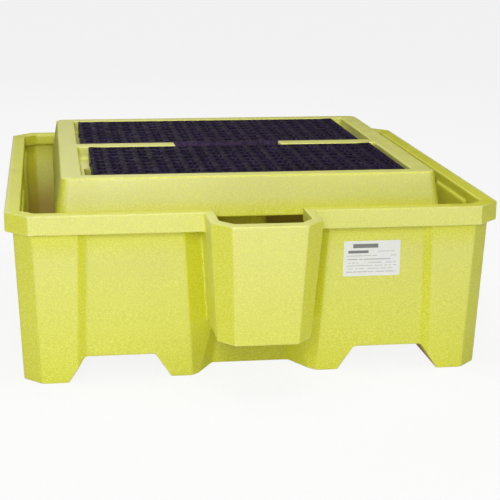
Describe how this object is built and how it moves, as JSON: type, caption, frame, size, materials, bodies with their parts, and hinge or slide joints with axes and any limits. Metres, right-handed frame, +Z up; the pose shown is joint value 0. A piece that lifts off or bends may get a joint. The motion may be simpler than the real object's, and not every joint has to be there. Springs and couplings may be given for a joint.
{
  "type": "spill containment pallet",
  "caption": "Drafted plastic spill sump with a front dispensing well and fork pockets, a raised lift-out platform on hollow legs, and lift-out grates.",
  "frame": {"origin": "on the floor, under the centre of the square rim", "axes": "+X to the right, +Y to the back, +Z up; the dispensing well stands out at the front, towards -Y"},
  "size_m": [1.76, 1.992, 0.71],
  "materials": {
    "yellow_polyethylene": "rotationally moulded polyethylene with a fine grain",
    "black_polyethylene": "moulded, slightly glossy",
    "label_vinyl": null
  },
  "bodies": {
    "sump": {"sump": "yellow_polyethylene", "label": "label_vinyl"},
    "platform": {"platform": "yellow_polyethylene"},
    "grate_front": {"grate_front": "black_polyethylene"},
    "grate_rear": {"grate_rear": "black_polyethylene"}
  },
  "joints": [
    {"name": "platform_lift", "type": "slide", "parent": "sump", "child": "platform", "axis": [0, 0, 1], "range_m": [0, 0.65]},
    {"name": "grate_front_lift", "type": "slide", "parent": "platform", "child": "grate_front", "axis": [0, 0, 1], "range_m": [0, 0.15]},
    {"name": "grate_rear_lift", "type": "slide", "parent": "platform", "child": "grate_rear", "axis": [0, 0, 1], "range_m": [0, 0.15]}
  ]
}
